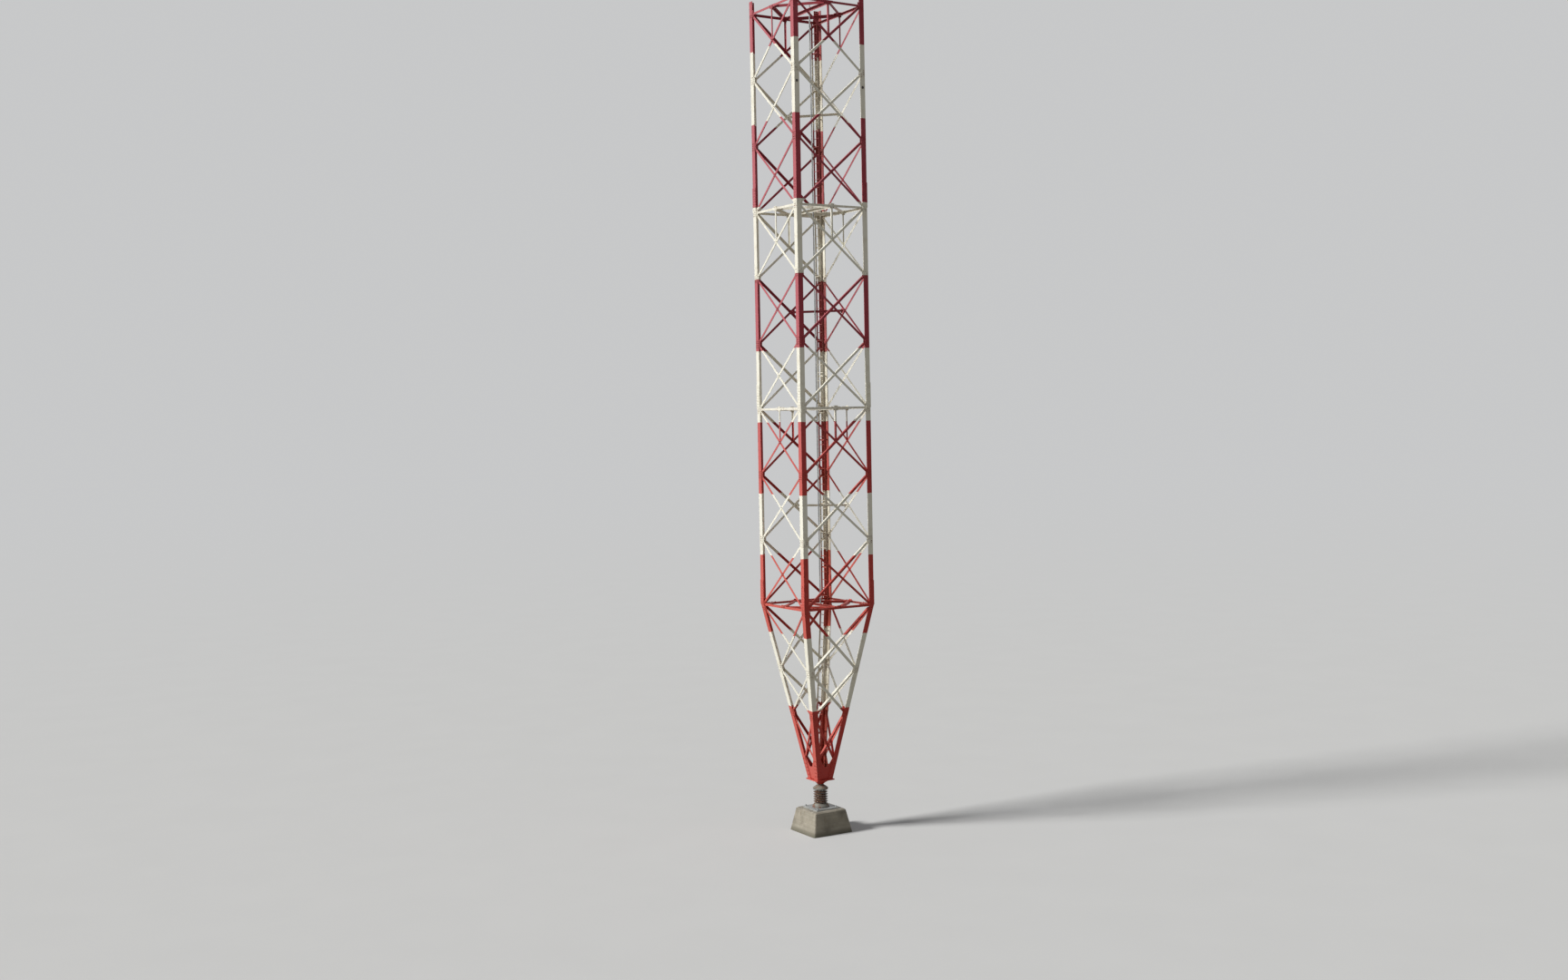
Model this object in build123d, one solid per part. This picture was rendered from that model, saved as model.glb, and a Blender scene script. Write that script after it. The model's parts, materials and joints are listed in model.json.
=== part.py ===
from build123d import *
import os
from math import atan, degrees, sqrt

# Lowest stretch of a guyed lattice radio mast: a square shaft of four angle legs with crossed
# bracing on every side, three bays tall, on a tapered foot, a base insulator and a concrete plinth.
# The frame: +Z up, the ground under the plinth at zero, the mast's axis on the origin.
# The front side faces -Y. Every side is the front side turned in quarter turns.

# Shaft, heel to heel over the legs, and its crossed panels
shaft_side = 3000.0
panel_height = 2400.0
panels_per_bay = 3
bay_count = 3

# Tapered foot, with its three crossed panels from the lowest ring frame downwards
ring_1_height = 8400.0
foot_side = 660.0
foot_upper_share = 0.4042
foot_middle_share = 0.2882
foot_point_over_plate = 700.0
foot_drop = 60.0

# Rolled angles: flange width and wall
leg_flange = 200.0
leg_wall = 20.0
brace_flange = 80.0
brace_wall = 8.0
foot_brace_flange = 100.0
foot_brace_width = 65.0
foot_brace_wall = 10.0
ring_flange = 80.0
ring_wall = 8.0
tie_flange = 100.0
tie_wall = 10.0
hanger_flange = 60.0
hanger_wall = 6.0

# Flat bars of the bracing, which fall to the right and share the angles' walls
flat_brace_width = 84.0
foot_flat_brace_width = 100.0

# Gussets on the legs and plates on the crossings
gusset_wall = 10.0
gusset_width = 220.0
gusset_height = 300.0
gusset_flat_share = 0.35
gusset_nose_share = 0.8
gusset_gap = 1.0
crossing_plate_side = 120.0
hanger_over_crossing = 30.0
brace_end_gap = 127.0
foot_brace_end_gap = 105.0
closing_plate_dip = 480.0
closing_plate_ear = 180.0
closing_plate_ear_width = 150.0
closing_plate_notch = 140.0

# Plates of the ring frames: at the middle of each side, and in the corners of the lowest frame
middle_plate_upright = 180.0
middle_plate_width = 400.0
middle_plate_nose = 120.0
middle_plate_shoulder = 60.0
middle_plate_reach = 200.0
corner_plate_side = 600.0
plate_clearance = 1.0

# Splices between the leg sections, over each ring frame
splice_over_ring = 460.0
splice_length = 900.0
splice_wall = 12.0
splice_edge = 10.0
butt_gap = 2.0
splice_bolt_across = 36.0
splice_bolt_head = 12.0
splice_bolt_end = 50.0
splice_hole_diameter = 26.0
splice_hole_gauge = 90.0
splice_hole_edge = 60.0

# Plinth and base insulator, from the ground up
plinth_height = 850.0
plinth_bottom_side = 1700.0
plinth_top_side = 1350.0
plinth_chamfer = 40.0
bed_plate_side = 960.0
bed_plate_thickness = 50.0
anchor_spacing = 800.0
anchor_bolt_diameter = 42.0
anchor_hole_clearance = 3.0
anchor_nut_across = 65.0
anchor_nut_height = 34.0
anchor_thread_over_nut = 24.0
lower_cap_height = 130.0
lower_cap_diameter = 620.0
insulator_height = 530.0
insulator_core_diameter = 400.0
shed_diameter = 540.0
shed_count = 5
shed_droop_share = 0.15
upper_cap_height = 130.0
upper_cap_diameter = 560.0
cap_rim = 50.0
cap_hub_margin = 45.0
rocker_height = 70.0
rocker_diameter = 260.0
rocker_rim_share = 0.4
rocker_crown_share = 0.5
casting_height = 150.0
casting_top_diameter = 560.0
boss_seat_share = 0.5
boss_neck_share = 0.6
boss_neck_rise = 40.0
casting_rib_wall = 30.0
casting_rib_rise = 30.0
casting_rib_root_share = 0.58
casting_rib_margin = 20.0
foot_plate_side = 760.0
foot_plate_thickness = 40.0

# Ladder in the back right corner
ladder_width = 360.0
ladder_from_back = 335.0
ladder_from_right = 395.0
foot_ladder_from_right = 450.0
stringer_depth = 60.0
stringer_wall = 10.0
rung_spacing = 300.0
rung_across = 24.0
ladder_foot_over_plate = 950.0
ladder_joint_gap = 0.3
bracket_depth = 50.0
bracket_wall = 8.0

# Struts across the back right corner
strut_plate_side = 180.0
strut_plate_wall = 8.0
strut_plate_shift = 54.0

# Cable pipe on the far bars of the ring frames and on the corner struts
pipe_diameter = 50.0
pipe_wall = 4.0
pipe_across = -70.0
pipe_drop = 300.0
pipe_clip_reach = 95.0
pipe_clip_width = 60.0
pipe_clip_wall = 6.0

# Worked out from the sizes above
bay_height = panel_height * panels_per_bay
ring_heights = [ring_1_height + bay_height * i for i in range(bay_count + 1)]
leg_top = ring_heights[-1] + splice_over_ring
splice_heights = [height + splice_over_ring for height in ring_heights[:-1]]
strut_heights = [height + bay_height / 2 for height in ring_heights[:-1]]
bed_plate_top = plinth_height + bed_plate_thickness
insulator_bottom = bed_plate_top + lower_cap_height
insulator_top = insulator_bottom + insulator_height
upper_cap_top = insulator_top + upper_cap_height
rocker_top = upper_cap_top + rocker_height
casting_top = rocker_top + casting_height
foot_plate_top = casting_top + foot_plate_thickness
taper = (shaft_side - foot_side) / 2 / (ring_1_height - foot_plate_top)
taper_length = sqrt(1 + taper * taper)
gusset_edge = leg_wall + gusset_wall + gusset_gap
corner_names = ("front_left", "front_right", "back_right", "back_left")
side_names = ("front", "right", "back", "left")

inward_shaft = Vector(0, 1, 0)
inward_foot = Vector(0, 1, taper).normalized()


def half_side(height):
    """Half the width over the heels of the legs at a height."""
    return shaft_side / 2 - taper * max(0.0, ring_1_height - height)


def on_front(across, height, depth=0.0, foot=False):
    """A point of the front side: across it, at a height, and moved inwards by a depth."""
    inward = inward_foot if foot else inward_shaft
    return Vector(across, -half_side(height), height) + inward * depth


def angle_section(width, flange, wall, hand):
    """L-shaped outline with its flat leg centred on the origin and the other leg along +Y."""
    left = -hand * width / 2
    inner = left + hand * wall
    right = -left
    return Polyline((left, 0), (right, 0), (right, wall), (inner, wall), (inner, flange), (left, flange),
                    close=True)


def bar_plane(start, end, inward):
    """Plane square to a bar at its start, with its second axis pointing inwards."""
    along = (end - start).normalized()
    return Plane(origin=start, x_dir=inward.cross(along), z_dir=along)


def angle_bar(start, end, inward, flange, wall, hand=1, width=None):
    """Rolled angle from start to end, its flat leg outside and the other leg pointing inwards."""
    plane = bar_plane(start, end, inward)
    section = make_face(plane * angle_section(width or flange, flange, wall, hand))
    return extrude(section, (end - start).length, dir=plane.z_dir)


def flat_bar(start, end, inward, width, wall):
    """Flat bar from start to end, its outer face through both."""
    plane = bar_plane(start, end, inward)
    return extrude(plane * Pos(0, wall / 2) * Rectangle(width, wall), (end - start).length, dir=plane.z_dir)


def plate(corners, inward, thickness):
    """Flat plate with the given corners, thickened inwards."""
    return extrude(make_face(Polyline(*corners, close=True)), thickness, dir=inward)


def brace(across_a, height_a, across_b, height_b, foot):
    """One diagonal of a crossed panel, held back from its two working points.

    A diagonal that rises to the right is an angle, and one that falls to the right is a flat bar.
    """
    inward = inward_foot if foot else inward_shaft
    depth = flange_depth(foot) + gusset_wall
    start = on_front(across_a, height_a, depth, foot)
    end = on_front(across_b, height_b, depth, foot)
    hold_back = (end - start).normalized() * (foot_brace_end_gap if foot else brace_end_gap)
    start += hold_back
    end -= hold_back
    wall = foot_brace_wall if foot else brace_wall
    if across_a > across_b:
        return flat_bar(start, end, inward, foot_flat_brace_width if foot else flat_brace_width, wall)
    if foot:
        return angle_bar(start, end, inward, foot_brace_flange, wall, width=foot_brace_width)
    return angle_bar(start, end, inward, brace_flange, wall)


def flange_depth(foot):
    """Depth of the leg flange's inner face behind the side's outer face."""
    return leg_wall / taper_length if foot else leg_wall


def working_point(height):
    """Distance across from the middle of a side to the middle of the leg's flange."""
    return half_side(height) - leg_flange / 2


def crossed_panel(bottom, top, foot):
    """The two diagonals of a panel with the plate on their crossing."""
    low = working_point(bottom)
    high = working_point(top)
    crossing = bottom + (top - bottom) * low / (low + high)
    reach = crossing_plate_side / 2
    inward = inward_foot if foot else inward_shaft
    depth = flange_depth(foot)
    corners = [on_front(x, z, depth, foot) for x, z in (
        (-reach, crossing - reach), (reach, crossing - reach), (reach, crossing + reach),
        (-reach, crossing + reach))]
    return [brace(-low, bottom, high, top, foot), brace(low, bottom, -high, top, foot),
            plate(corners, inward, gusset_wall)]


def leg_gusset(height, hand, foot, up=1.0, down=1.0):
    """Gusset on the inner face of a leg's flange, cut back towards the bracing."""
    rise = gusset_height / 2 * up
    fall = gusset_height / 2 * down
    inward = inward_foot if foot else inward_shaft

    def corner(inset, z):
        return on_front(hand * (half_side(z) - gusset_edge - inset), z, flange_depth(foot), foot)

    flat = gusset_width * gusset_flat_share
    nose = gusset_nose_share
    corners = [corner(0, height - fall), corner(0, height + rise), corner(flat, height + rise),
               corner(gusset_width, height + rise * nose), corner(gusset_width, height - fall * nose),
               corner(flat, height - fall)]
    return plate(corners, inward, gusset_wall)


def fuse(shapes):
    """One solid out of pieces that touch or cross."""
    return Part() + shapes


def turned(shape, quarter_turns):
    """A copy turned about the mast's axis."""
    return shape.rotate(Axis.Z, 90 * quarter_turns)


def write(shape, name):
    """Write one named piece."""
    export_step(shape, f"parts/{name}.step")


def make_plinth():
    """Concrete block with sloping sides and a chamfered top edge."""
    slope = degrees(atan((plinth_bottom_side - plinth_top_side) / 2 / plinth_height))
    block = extrude(Rectangle(plinth_bottom_side, plinth_bottom_side), plinth_height, taper=slope)
    return chamfer(block.faces().sort_by(Axis.Z)[-1].edges(), plinth_chamfer)


def make_bed_plate():
    """Steel plate on the plinth with a hole for each anchor bolt."""
    slab = Pos(0, 0, plinth_height) * extrude(Rectangle(bed_plate_side, bed_plate_side), bed_plate_thickness)
    hole = extrude(Circle((anchor_bolt_diameter + 2 * anchor_hole_clearance) / 2), bed_plate_thickness)
    holes = [Pos(x, y, plinth_height) * hole for x, y in anchor_places()]
    return slab - holes


def anchor_places():
    """Centres of the anchor bolts."""
    half = anchor_spacing / 2
    return [(x * half, y * half) for x in (-1, 1) for y in (-1, 1)]


def make_anchor_bolts():
    """Anchor bolts standing out of the plinth through the bed plate, each with its nut."""
    length = bed_plate_thickness + anchor_nut_height + anchor_thread_over_nut
    stud = Pos(0, 0, plinth_height) * extrude(RegularPolygon(anchor_bolt_diameter / 2, 10), length)
    nut = Pos(0, 0, bed_plate_top) * extrude(
        RegularPolygon(anchor_nut_across / 2, 6, major_radius=False), anchor_nut_height)
    bolt = stud + nut
    return Compound(children=[Pos(x, y, 0) * bolt for x, y in anchor_places()])


def ring_body(outline):
    """Solid of revolution about the mast's axis from an outline of radius and height."""
    return revolve(make_face(Plane.XZ * Polyline(*outline, close=True)), Axis.Z)


def make_lower_cap():
    """Cast cap that the porcelain stands in: a wide flange with a sloping hub."""
    r = lower_cap_diameter / 2
    hub = insulator_core_diameter / 2 + cap_hub_margin
    z = bed_plate_top
    return ring_body([(0, z), (r, z), (r, z + cap_rim), (hub, z + lower_cap_height), (0, z + lower_cap_height)])


def make_insulator():
    """Porcelain barrel with evenly spaced sheds."""
    core = insulator_core_diameter / 2
    shed = shed_diameter / 2
    pitch = insulator_height / (shed_count + 1)
    outline = [(0, insulator_bottom), (core, insulator_bottom), (core, insulator_bottom + pitch / 2)]
    for i in range(shed_count):
        z = insulator_bottom + pitch * (i + 1)
        outline += [(shed, z - pitch * shed_droop_share), (core, z + pitch / 2)]
    outline += [(core, insulator_top), (0, insulator_top)]
    return ring_body(outline)


def make_upper_cap():
    """Cast cap over the porcelain, with the seat of the rocker on top."""
    r = upper_cap_diameter / 2
    seat = rocker_diameter / 2 + cap_hub_margin
    z = insulator_top
    return ring_body([(0, z), (r, z), (r, z + cap_rim), (seat, z + upper_cap_height), (0, z + upper_cap_height)])


def make_rocker():
    """Steel rocker that lets the mast lean a little on its insulator."""
    r = rocker_diameter / 2
    z = upper_cap_top
    return ring_body([(0, z), (r, z), (r, z + rocker_height * rocker_rim_share), (r * rocker_crown_share, rocker_top),
                      (0, rocker_top)])


def make_foot_casting():
    """Foot plate that the four legs stand on, with its cast boss and ribs underneath."""
    r = casting_top_diameter / 2
    boss = ring_body([(0, rocker_top), (r * boss_seat_share, rocker_top),
                      (r * boss_neck_share, rocker_top + boss_neck_rise), (r, casting_top), (0, casting_top)])
    slab = Pos(0, 0, casting_top) * extrude(Rectangle(foot_plate_side, foot_plate_side), foot_plate_thickness)
    low = rocker_top + casting_rib_rise
    rib = make_face(Plane.XZ * Polyline((0, low), (r * casting_rib_root_share, low),
                                        (foot_plate_side / 2 - casting_rib_margin, casting_top), (0, casting_top),
                                        close=True))
    ribs = [Rot(0, 0, 45 + 90 * i) * extrude(rib, casting_rib_wall / 2, both=True) for i in range(4)]
    return fuse([boss, slab] + ribs)


def leg_outline(height):
    """Outline of the front left leg's angle at a height, heel outwards."""
    h = half_side(height)
    f, w = leg_flange, leg_wall
    points = [(-h, -h), (-h + f, -h), (-h + f, -h + w), (-h + w, -h + w), (-h + w, -h + f), (-h, -h + f)]
    return make_face(Plane.XY.offset(height) * Polyline(*points, close=True))


def make_foot_leg():
    """Leaning leg of the tapered foot."""
    rise = ring_1_height - foot_plate_top
    move = half_side(foot_plate_top) - half_side(ring_1_height)
    return extrude(leg_outline(foot_plate_top), sqrt(rise ** 2 + 2 * move ** 2), dir=(move, move, rise))


def make_leg():
    """Upright leg in rolled lengths with a small gap at each splice, drilled at the top for the next one."""
    marks = [ring_1_height - butt_gap] + splice_heights + [leg_top]
    lengths = [extrude(leg_outline(a + butt_gap), b - a - butt_gap) for a, b in zip(marks, marks[1:])]
    half = shaft_side / 2
    place = Plane.XZ * Pos(leg_flange / 2 - half, leg_top - splice_hole_edge, half - leg_wall)
    hole = place * extrude(Circle(splice_hole_diameter / 2), leg_wall)
    front = [Pos(x * splice_hole_gauge / 2, 0, 0) * hole for x in (-1, 1)]
    diagonal = Plane(origin=(0, 0, 0), z_dir=(1, -1, 0))
    left = [mirror(one, about=diagonal) for one in front]
    lengths[-1] = lengths[-1] - front - left
    return Compound(children=lengths)


def make_splice(height):
    """Cover angles over one leg joint, outside the heel and inside it, with the outer one's end bolts."""
    h = shaft_side / 2
    f, w, t = leg_flange - splice_edge, leg_wall, splice_wall
    bottom = height - splice_length / 2
    outer = [(-h - t, -h - t), (-h + f, -h - t), (-h + f, -h), (-h, -h), (-h, -h + f), (-h - t, -h + f)]
    inner = [(-h + w, -h + w), (-h + f, -h + w), (-h + f, -h + w + t), (-h + w + t, -h + w + t),
             (-h + w + t, -h + f), (-h + w, -h + f)]
    inner_bottom = height - splice_over_ring + gusset_height / 2 + splice_edge
    cover = extrude(make_face(Plane.XY.offset(bottom) * Polyline(*outer, close=True)), splice_length)
    backing = extrude(make_face(Plane.XY.offset(inner_bottom) * Polyline(*inner, close=True)),
                      bottom + splice_length - inner_bottom)
    middle = leg_flange / 2 - h
    head = extrude(RegularPolygon(splice_bolt_across / 2, 6, major_radius=False), splice_bolt_head)
    heads = []
    for z in (bottom + splice_bolt_end, bottom + splice_length - splice_bolt_end):
        heads.append(Plane(origin=(middle, -h - t, z), z_dir=(0, -1, 0)) * head)
        heads.append(Plane(origin=(-h - t, middle, z), z_dir=(-1, 0, 0)) * head)
    return [fuse([cover] + heads), backing]


def make_splices():
    """Cover angles over every leg joint."""
    pieces = [piece for height in splice_heights for piece in make_splice(height)]
    return Compound(children=[turned(piece, turn) for piece in pieces for turn in range(4)])


def make_bay_bracing(bottom):
    """Three crossed panels of one side, with the hanger under the ring frame above."""
    pieces = []
    for i in range(panels_per_bay):
        z = bottom + panel_height * i
        pieces += crossed_panel(z, z + panel_height, False)
        if i:
            pieces += [leg_gusset(z, hand, False) for hand in (-1, 1)]
    top = bottom + bay_height
    depth = leg_wall + gusset_wall
    low = on_front(0, top - panel_height / 2 + hanger_over_crossing, depth)
    high = on_front(0, top - ring_flange / 2 - gusset_gap, depth)
    pieces.append(angle_bar(low, high, inward_shaft, hanger_flange, hanger_wall))
    return fuse(pieces)


def foot_marks():
    """Heights of the panel points of the foot, from the top down."""
    top = ring_1_height - foot_drop
    bottom = foot_plate_top + foot_point_over_plate
    upper = top - (top - bottom) * foot_upper_share
    return [top, upper, upper - (top - bottom) * foot_middle_share, bottom]


def make_foot_bracing():
    """Crossed panels of one side of the foot, with the plate that closes its lower end."""
    marks = foot_marks()
    pieces = []
    for top, bottom in zip(marks, marks[1:]):
        pieces += crossed_panel(bottom, top, True)
    pieces += [leg_gusset(marks[0], hand, True, up=0.0) for hand in (-1, 1)]
    pieces += [leg_gusset(z, hand, True) for z in marks[1:3] for hand in (-1, 1)]
    low = foot_plate_top + gusset_wall
    ear = marks[3] + closing_plate_ear
    dip = foot_plate_top + closing_plate_dip

    def corner(hand, inset, z):
        return on_front(hand * (half_side(z) - gusset_edge - inset), z, flange_depth(True), True)

    def notch(hand):
        return on_front(hand * closing_plate_notch / 2, dip, flange_depth(True), True)

    corners = [corner(-1, 0, low), corner(1, 0, low), corner(1, 0, ear), corner(1, closing_plate_ear_width, ear),
               notch(1), notch(-1), corner(-1, closing_plate_ear_width, ear), corner(-1, 0, ear)]
    pieces.append(plate(corners, inward_foot, gusset_wall))
    return fuse(pieces)


def middle_plates(z):
    """Upright plate behind the strut's middle and flat plate on its shelf, at the middle of a side."""
    mid = middle_plate_upright / 2
    seat = z + ring_flange / 2
    top = z + mid if z < ring_heights[-1] else seat
    low = z - mid if z > ring_1_height else z - ring_flange / 2
    upright = [on_front(x, h, leg_wall) for x, h in ((-mid, low), (mid, low), (mid, top), (-mid, top))]
    back = half_side(z) - leg_wall - gusset_wall
    inner = back - ring_flange / 2
    wide = middle_plate_width / 2
    nose = middle_plate_nose / 2
    flat = [Vector(x, y, seat) for x, y in (
        (-wide, -back), (wide, -back), (wide, -inner + middle_plate_shoulder), (nose, -inner + middle_plate_reach),
        (-nose, -inner + middle_plate_reach), (-wide, -inner + middle_plate_shoulder))]
    return [plate(upright, inward_shaft, gusset_wall), plate(flat, Vector(0, 0, 1), gusset_wall)]


def corner_plate(z):
    """Flat three-cornered plate on the shelves of two struts, in the front left corner."""
    seat = z + ring_flange / 2
    near = plate_clearance + leg_wall + gusset_wall - half_side(z)
    far = near + corner_plate_side
    return plate([Vector(near, near, seat), Vector(far, near, seat), Vector(near, far, seat)],
                 Vector(0, 0, 1), gusset_wall)


def make_ring_frame(level):
    """Struts round the shaft on the leg gussets, the inner square that joins their middles, and a tie.

    The lowest frame, where the legs bend, has a plate in every corner but the ladder's.
    """
    z = ring_heights[level]
    depth = leg_wall + gusset_wall
    reach = half_side(z) - depth - ring_wall - gusset_gap
    strut = angle_bar(on_front(-reach, z, depth), on_front(reach, z, depth), inward_shaft,
                      ring_flange, ring_wall)
    gussets = [leg_gusset(z, hand, False, down=min(level, 1)) for hand in (-1, 1)]
    seat = z + ring_flange / 2
    inner = half_side(z) - depth - ring_flange / 2
    step = (ring_flange + tie_flange) / 2 - tie_wall
    down = Vector(0, 0, -1)
    bar = angle_bar(Vector(step, -inner + step, seat), Vector(inner - step, -step, seat), down,
                    tie_flange, tie_wall, -1)
    one = fuse([strut, bar] + gussets + middle_plates(z))
    end = inner - middle_plate_reach + middle_plate_shoulder
    tie = angle_bar(Vector(0, -end, seat), Vector(0, end, seat), down, tie_flange, tie_wall, -1)
    corners = [turned(corner_plate(z), turn) for turn in (0, 1, 3)] if level == 0 else []
    return fuse([turned(one, turn) for turn in range(4)] + [tie] + corners)


def make_corner_struts():
    """Struts across the back right corner, from crossing to crossing in the middle of each bay."""
    reach = shaft_side / 2 - leg_wall - gusset_wall - brace_flange
    face = reach - strut_plate_wall
    struts = []
    for z in strut_heights:
        shelf = z + brace_flange / 2
        bar = angle_bar(Vector(-brace_flange, face + brace_flange, shelf),
                        Vector(face + brace_flange, -brace_flange, shelf),
                        Vector(0, 0, -1), brace_flange, brace_wall)
        bar = bar & Pos(face / 2, face / 2, z) * Box(face, face, 2 * brace_flange)
        back = Pos(strut_plate_shift, face + strut_plate_wall / 2, z) * Box(strut_plate_side, strut_plate_wall,
                                                                            strut_plate_side)
        right = Pos(face + strut_plate_wall / 2, strut_plate_shift, z) * Box(strut_plate_wall, strut_plate_side,
                                                                             strut_plate_side)
        struts.append(fuse([bar, back, right]))
    return Compound(children=struts)


def ladder_run(low, high, stand_off, bracket_heights):
    """Ladder from one point to another, its width along the right side, with brackets to the leg's flange.

    Every bar is a rectangle in plan that is carried up along the ladder's lean, so that the ends of
    the brackets lie flat on a leaning leg too.
    """
    run = high - low
    along = run.normalized()

    def bar(y0, y1, x0, x1, z, rise):
        """Bar over a rectangle in plan, measured from the ladder's middle, from one height upwards."""
        at = low + run * ((z - low.Z) / run.Z)
        outline = Pos(at.X + (x0 + x1) / 2, at.Y + (y0 + y1) / 2, z) * Rectangle(x1 - x0, y1 - y0)
        return extrude(outline, rise / along.Z, dir=along)

    inner = ladder_width / 2
    outer = inner + stringer_wall
    back = stringer_depth / 2
    flange_face = stand_off - leg_wall
    pieces = [bar(-outer, -inner, -back, back, low.Z, run.Z), bar(inner, outer, -back, back, low.Z, run.Z)]
    length = ladder_width + stringer_wall
    for i in range(int((run.Z - rung_spacing / 2) / rung_spacing) + 1):
        z = low.Z + rung_spacing * (i + 0.5)
        at = low + run * ((z - low.Z) / run.Z)
        rung = Plane(origin=at - Vector(0, length / 2, 0), x_dir=(0, 0, 1), z_dir=(0, 1, 0))
        pieces.append(extrude(rung * RegularPolygon(rung_across / 2, 6), length, dir=(0, 1, 0)))
    for z in bracket_heights:
        pieces.append(bar(-outer, outer, back, back + bracket_wall, z, bracket_depth))
        pieces.append(bar(outer - bracket_wall, outer, back, flange_face, z, bracket_depth))
    return fuse(pieces)


def ladder_place(height, stand_off):
    """Middle of the ladder in plan at a height, so far from the right side."""
    half = half_side(height)
    return Vector(half - stand_off, half - ladder_from_back, height)


def make_ladder(level):
    """Upright ladder of one bay, held once in each panel."""
    bottom = ring_heights[level]
    brackets = [bottom + panel_height * (i + 0.5) for i in range(panels_per_bay)]
    low = ladder_place(bottom + ladder_joint_gap, ladder_from_right)
    return ladder_run(low, ladder_place(ring_heights[level + 1], ladder_from_right), ladder_from_right, brackets)


def make_foot_ladder():
    """Leaning ladder inside the foot, following the back right leg."""
    marks = foot_marks()
    brackets = [(low + high) / 2 for low, high in zip(marks, marks[1:])]
    low = ladder_place(foot_plate_top + ladder_foot_over_plate, foot_ladder_from_right)
    high = ladder_place(ring_1_height, foot_ladder_from_right)
    return ladder_run(low, high, foot_ladder_from_right, brackets)


def make_cable_pipe():
    """Upright pipe for cables, with a flat clip on each bar or strut that carries it."""
    edge = (half_side(leg_top) - leg_wall - gusset_wall - brace_flange - strut_plate_wall - brace_flange / sqrt(2))
    away = edge / sqrt(2) - pipe_diameter / 2
    turn_out = Rot(0, 0, 45) * Pos(away, -pipe_across, 0)
    bottom = ring_1_height - pipe_drop
    ring = Circle(pipe_diameter / 2) - Circle(pipe_diameter / 2 - pipe_wall)
    pieces = [turn_out * Pos(0, 0, bottom) * extrude(ring, leg_top - bottom)]
    bore = extrude(Circle(pipe_diameter / 2 - pipe_wall / 2), pipe_clip_wall)
    seats = [z + ring_flange / 2 for z in ring_heights] + [z + brace_flange / 2 for z in strut_heights]
    for seat in seats:
        clip = Pos(pipe_clip_reach / 2, 0, 0) * Rectangle(pipe_clip_reach, pipe_clip_width)
        pieces.append(turn_out * Pos(0, 0, seat) * (extrude(clip, pipe_clip_wall) - bore))
    return fuse(pieces)


write(make_plinth(), "plinth")
write(make_bed_plate(), "bed_plate")
write(make_anchor_bolts(), "anchor_bolts")
write(make_lower_cap(), "lower_cap")
write(make_insulator(), "base_insulator")
write(make_upper_cap(), "upper_cap")
write(make_rocker(), "rocker")
write(make_foot_casting(), "foot_casting")

foot_leg = make_foot_leg()
leg = make_leg()
foot_bracing = make_foot_bracing()
for turn, corner_name in enumerate(corner_names):
    write(turned(foot_leg, turn), f"foot_leg_{corner_name}")
    write(turned(leg, turn), f"leg_{corner_name}")
for turn, side_name in enumerate(side_names):
    write(turned(foot_bracing, turn), f"foot_bracing_{side_name}")
write(make_splices(), "leg_splices")

upright = make_bay_bracing(ring_1_height)
for level in range(bay_count):
    for turn, side_name in enumerate(side_names):
        write(turned(Pos(0, 0, bay_height * level) * upright, turn), f"bay_{level + 1}_bracing_{side_name}")
for level in range(bay_count + 1):
    write(make_ring_frame(level), f"ring_frame_{level + 1}")
write(make_corner_struts(), "corner_struts")
write(make_foot_ladder(), "foot_ladder")
for level in range(bay_count):
    write(make_ladder(level), f"ladder_bay_{level + 1}")
write(make_cable_pipe(), "cable_pipe")
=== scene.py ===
import json
import logging
from dataclasses import dataclass, field
from enum import Enum
from functools import cache, reduce
from typing import Iterable, Sequence, Union

import bpy
import numpy as np
from mathutils import Matrix, Vector


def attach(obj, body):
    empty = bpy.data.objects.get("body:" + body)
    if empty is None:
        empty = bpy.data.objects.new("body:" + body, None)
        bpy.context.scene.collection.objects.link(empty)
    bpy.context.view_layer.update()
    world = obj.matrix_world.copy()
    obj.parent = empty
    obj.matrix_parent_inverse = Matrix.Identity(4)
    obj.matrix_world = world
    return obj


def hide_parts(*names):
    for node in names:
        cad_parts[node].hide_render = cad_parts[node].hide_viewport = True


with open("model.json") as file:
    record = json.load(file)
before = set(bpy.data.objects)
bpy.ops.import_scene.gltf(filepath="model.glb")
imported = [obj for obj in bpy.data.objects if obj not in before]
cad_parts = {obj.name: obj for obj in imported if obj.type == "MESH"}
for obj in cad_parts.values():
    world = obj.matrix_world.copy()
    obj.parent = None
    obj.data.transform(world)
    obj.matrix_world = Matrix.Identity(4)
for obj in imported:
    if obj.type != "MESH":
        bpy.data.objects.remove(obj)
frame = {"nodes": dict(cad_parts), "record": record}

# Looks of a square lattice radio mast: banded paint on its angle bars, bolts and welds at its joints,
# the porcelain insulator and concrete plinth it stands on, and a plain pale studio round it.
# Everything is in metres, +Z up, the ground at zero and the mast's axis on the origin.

logging.basicConfig(level=logging.INFO, format="%(message)s")
log = logging.getLogger("mast")

Array = np.ndarray
Colour = tuple[float, float, float, float]
Place = tuple[float, float, float]
Socket = bpy.types.NodeSocket
Material = bpy.types.Material
Pieces = list[bpy.types.Object]

# Sizes shared with the CAD model
SHAFT_HALF = 1.5
RING_1 = 8.4
PANEL = 2.4
BAY = 7.2
BAYS = 3
PANELS_PER_BAY = 3
LEG_FLANGE = 0.2
LEG_WALL = 0.02
GUSSET_WALL = 0.01
BRACE_WALL = 0.008
FOOT_HALF = 0.33
FOOT_PLATE_TOP = 1.95
TAPER = (SHAFT_HALF - FOOT_HALF) / (RING_1 - FOOT_PLATE_TOP)
RINGS = tuple(RING_1 + BAY * i for i in range(BAYS + 1))
FOOT_MARKS = (RING_1 - 0.06, 6.0401, 4.4002, FOOT_PLATE_TOP + 0.7)

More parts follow.
